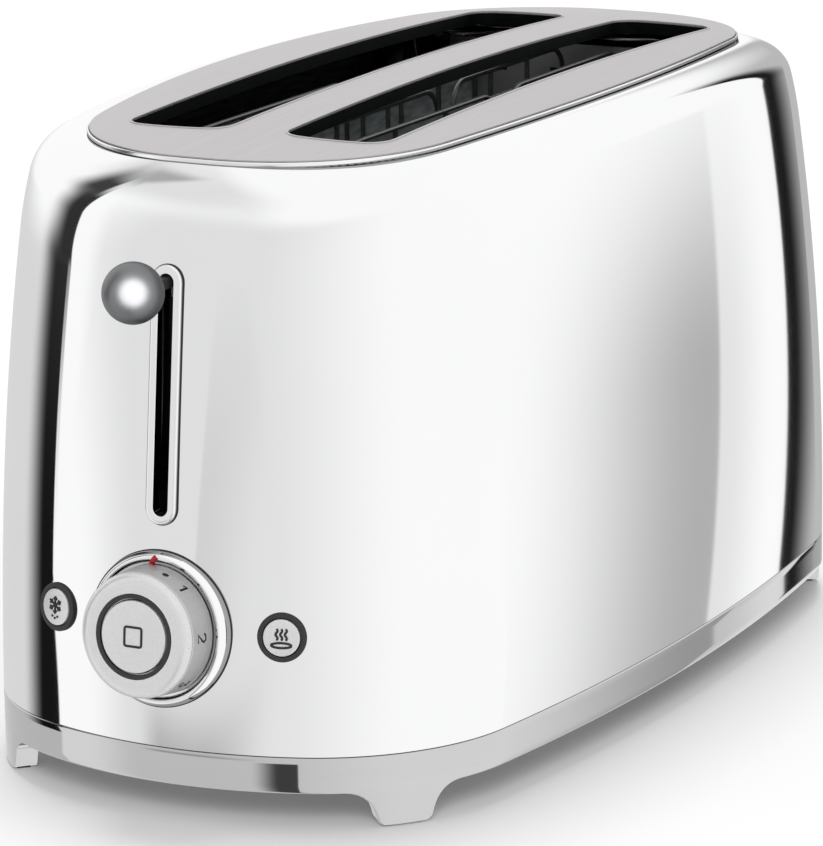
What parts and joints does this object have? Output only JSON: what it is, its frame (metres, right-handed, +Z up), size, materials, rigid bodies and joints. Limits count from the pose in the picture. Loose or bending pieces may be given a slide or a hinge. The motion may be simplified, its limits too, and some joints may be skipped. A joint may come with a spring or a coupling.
{
  "type": "toaster",
  "caption": "Retro long-slot toaster with a polished drawn-in shell, crowned brushed top, base band on splayed feet, browning dial with stop button, lever ball and lift mechanism",
  "frame": {"origin": "on the surface it stands on, under the middle of the whole toaster's box", "axes": "+X runs along the toaster from the lever end to the far end, +Y across it to the left of someone looking along +X, +Z up"},
  "size_m": [0.4024, 0.2004, 0.2153],
  "materials": {
    "polished_steel": "mirror polished",
    "brushed_top": "brushed along the length",
    "band_metal": "soft satin",
    "satin_metal": "satin with a bright edge",
    "sheet_steel": "galvanised sheet",
    "wire_steel": "bright wire",
    "black_plastic": "fine matte",
    "foot_rubber": "matte",
    "heater_mica": "mica sheet with ribbon",
    "circuit_board": "matte",
    "magnet_copper": "dull winding"
  },
  "bodies": {
    "housing": {"body_shell": "polished_steel", "top_trim": "polished_steel", "top_plate": "brushed_top", "base_band": "band_metal", "base_plate": "sheet_steel", "cord_gland": "black_plastic", "foot_pad_1": "foot_rubber", "foot_pad_2": "foot_rubber", "foot_pad_3": "foot_rubber", "foot_pad_4": "foot_rubber", "base_screw_1": "wire_steel", "base_screw_2": "wire_steel", "base_screw_3": "wire_steel", "base_screw_4": "wire_steel", "lever_bezel": "polished_steel", "dial_ring": "polished_steel", "control_board": "circuit_board", "dial_switch": "black_plastic", "stop_switch": "black_plastic", "reheat_bezel": "black_plastic", "reheat_switch": "black_plastic", "defrost_bezel": "black_plastic", "defrost_switch": "black_plastic", "front_chassis_plate": "sheet_steel", "rear_chassis_plate": "sheet_steel", "centre_reflector": "sheet_steel", "right_reflector": "sheet_steel", "right_outer_heater": "heater_mica", "right_inner_heater": "heater_mica", "right_lift_rod": "wire_steel", "left_reflector": "sheet_steel", "left_outer_heater": "heater_mica", "left_inner_heater": "heater_mica", "left_lift_rod": "wire_steel", "holding_magnet": "magnet_copper", "return_spring": "wire_steel"},
    "lift": {"lift_carriage": "sheet_steel", "armature_plate": "sheet_steel", "lever_collar": "polished_steel", "lever_ball": "polished_steel", "right_rack": "wire_steel", "left_rack": "wire_steel"},
    "right_outer": {"right_outer_guide": "wire_steel"},
    "right_inner": {"right_inner_guide": "wire_steel"},
    "left_outer": {"left_outer_guide": "wire_steel"},
    "left_inner": {"left_inner_guide": "wire_steel"},
    "knob": {"browning_knob": "satin_metal", "knob_inlay": "black_plastic"},
    "stop": {"stop_button": "satin_metal"},
    "reheat": {"reheat_button": "satin_metal"},
    "defrost": {"defrost_button": "satin_metal"},
    "tray": {"crumb_tray": "band_metal"}
  },
  "joints": [
    {"name": "lever_slide", "type": "slide", "parent": "housing", "child": "lift", "axis": [0, 0, -1], "range_m": [0, 0.071], "stiffness_N_per_m": 160, "springref_m": -0.06, "deforming": ["return_spring"]},
    {"name": "right_outer_slide", "type": "slide", "parent": "housing", "child": "right_outer", "axis": [0, 1, 0], "range_m": [0, 0.008]},
    {"name": "right_inner_slide", "type": "slide", "parent": "housing", "child": "right_inner", "axis": [0, -1, 0], "range_m": [0, 0.008]},
    {"name": "left_outer_slide", "type": "slide", "parent": "housing", "child": "left_outer", "axis": [0, -1, 0], "range_m": [0, 0.008]},
    {"name": "left_inner_slide", "type": "slide", "parent": "housing", "child": "left_inner", "axis": [0, 1, 0], "range_m": [0, 0.008]},
    {"name": "knob_turn", "type": "hinge", "parent": "housing", "child": "knob", "pos_m": [-0.18018, 0, 0.0626], "axis": [-0.9962, 0, 0.0866], "range_deg": [0, 240]},
    {"name": "stop_press", "type": "slide", "parent": "housing", "child": "stop", "axis": [0.9962, 0, -0.0866], "range_m": [0, 0.002], "stiffness_N_per_m": 600, "springref_m": -0.002},
    {"name": "reheat_press", "type": "slide", "parent": "housing", "child": "reheat", "axis": [0.9536, 0.2882, -0.0867], "range_m": [0, 0.002], "stiffness_N_per_m": 600, "springref_m": -0.002},
    {"name": "defrost_press", "type": "slide", "parent": "housing", "child": "defrost", "axis": [0.9536, -0.2882, -0.0867], "range_m": [0, 0.002], "stiffness_N_per_m": 600, "springref_m": -0.002},
    {"name": "tray_slide", "type": "slide", "parent": "housing", "child": "tray", "axis": [1, 0, 0], "range_m": [0, 0.24]}
  ],
  "couplings": [
    {"joint": "right_outer_slide", "follows": "lever_slide", "ratio": 0.1126},
    {"joint": "right_inner_slide", "follows": "lever_slide", "ratio": 0.1126},
    {"joint": "left_outer_slide", "follows": "lever_slide", "ratio": 0.1126},
    {"joint": "left_inner_slide", "follows": "lever_slide", "ratio": 0.1126}
  ]
}
